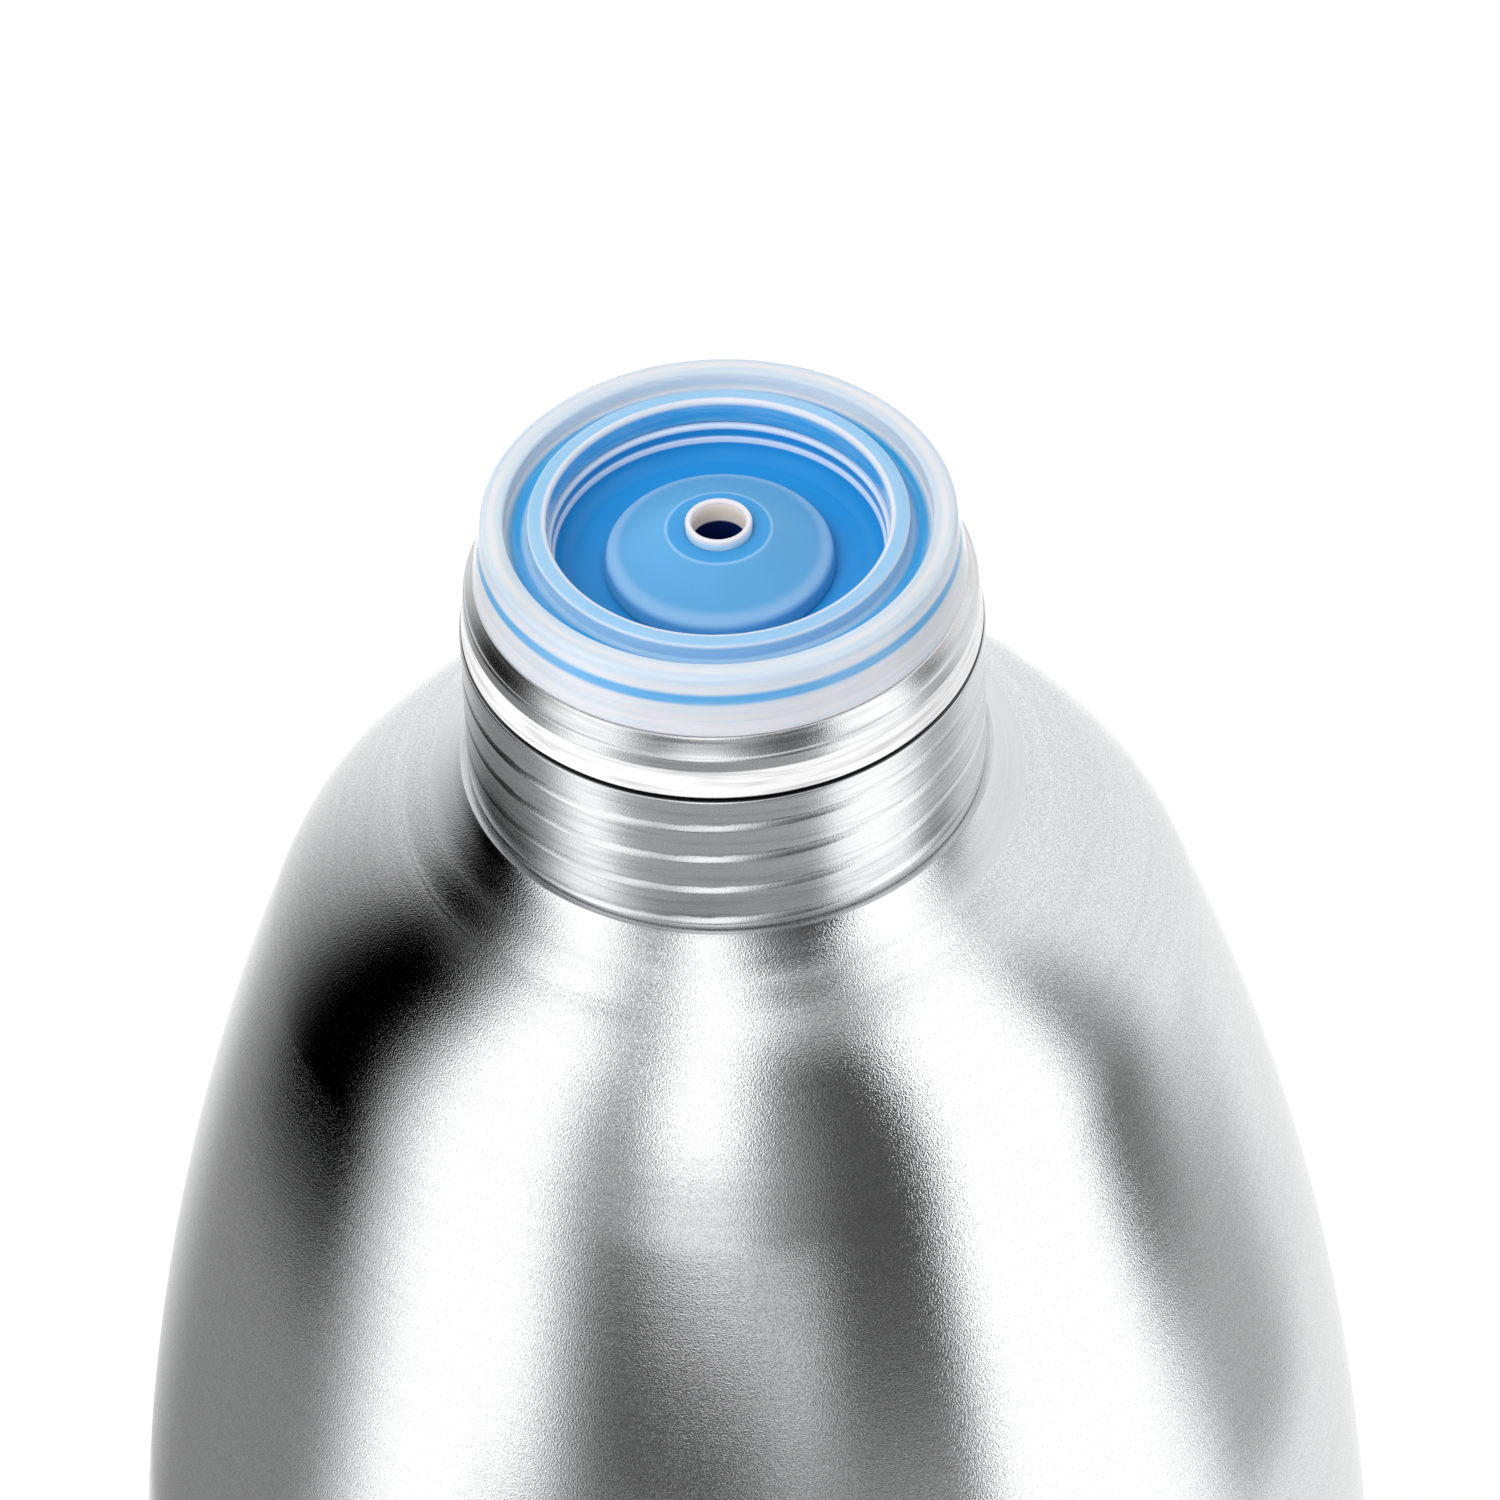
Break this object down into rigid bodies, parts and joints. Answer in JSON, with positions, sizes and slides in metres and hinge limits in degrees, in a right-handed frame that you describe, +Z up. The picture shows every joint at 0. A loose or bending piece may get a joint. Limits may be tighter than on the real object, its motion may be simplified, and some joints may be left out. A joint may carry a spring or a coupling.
{
  "type": "soda siphon",
  "caption": "Open soda siphon: steel bottle with threaded neck, gasket, insert and riser tube, and its lever head with spout and gas charger holder standing beside it.",
  "frame": {"origin": "centre of the bottle's foot ring, on the table", "axes": "+Z up along the bottle's axis; -Y toward the viewer; +X toward the head that stands beside the bottle"},
  "size_m": [0.181, 0.1708, 0.2351],
  "materials": {
    "body_steel": "satin, brushed round the axis",
    "neck_steel": "turned",
    "clear_silicone": "translucent",
    "deep_blue_plastic": "translucent gloss",
    "pale_blue_plastic": "translucent satin",
    "ivory_plastic": "satin",
    "clear_plastic": "translucent",
    "head_metal": "satin",
    "brass": "turned",
    "spring_steel": "polished",
    "lever_steel": "polished",
    "black_rubber": "matte",
    "dark_plastic": "matte"
  },
  "bodies": {
    "bottle": {"bottle_cup": "body_steel", "bottle_shoulder": "body_steel", "threaded_neck": "neck_steel"},
    "insert": {"neck_gasket": "clear_silicone", "neck_insert": "deep_blue_plastic", "measuring_tube": "clear_plastic"},
    "riser": {"tube_collar": "pale_blue_plastic", "riser_tube": "ivory_plastic"},
    "head": {"head_body": "head_metal", "valve_cage": "brass", "valve_spring": "spring_steel", "stem_seal": "black_rubber", "lever_pin": "spring_steel", "pin_clip": "dark_plastic", "spout_tube": "lever_steel", "spout_nut": "lever_steel", "spout_seal": "black_rubber", "spout_nozzle": "dark_plastic", "charger_socket": "brass", "piercing_pin": "spring_steel", "charger_seal": "black_rubber", "relief_valve": "brass"},
    "lever": {"lever": "lever_steel"},
    "valve": {"valve_stem": "spring_steel", "valve_washer": "black_rubber"},
    "charger": {"co2_charger": "spring_steel"},
    "holder": {"charger_holder": "head_metal", "holder_grip": "black_rubber"}
  },
  "joints": [
    {"name": "insert_lift", "type": "slide", "parent": "bottle", "child": "insert", "axis": [0, 0, 1], "range_m": [0, 0.09]},
    {"name": "riser_lift", "type": "slide", "parent": "insert", "child": "riser", "axis": [0, 0, 1], "range_m": [0, 0.235]},
    {"name": "head_lift", "type": "slide", "parent": "bottle", "child": "head", "axis": [0, 0, 1], "range_m": [0, 0.3]},
    {"name": "lever_press", "type": "hinge", "parent": "head", "child": "lever", "pos_m": [0.1055, -0.008, 0.06712], "axis": [-1, 0, 0], "range_deg": [0, 12], "stiffness_Nm_per_rad": 0.6, "springref_deg": -17.19},
    {"name": "valve_push", "type": "slide", "parent": "head", "child": "valve", "axis": [0, 0, -1], "range_m": [0, 0.0018], "deforming": ["valve_spring"]},
    {"name": "charger_out", "type": "slide", "parent": "head", "child": "charger", "axis": [0, 1, 0], "range_m": [0, 0.0062]},
    {"name": "holder_screw", "type": "hinge", "parent": "charger", "child": "holder", "pos_m": [0.1055, 0.06, 0.03912], "axis": [0, 1, 0], "range_deg": [0, 1080]}
  ],
  "couplings": [
    {"joint": "valve_push", "follows": "lever_press", "m_per_rad": 0.008},
    {"joint": "charger_out", "follows": "holder_screw", "m_per_rad": 0.00031831}
  ]
}
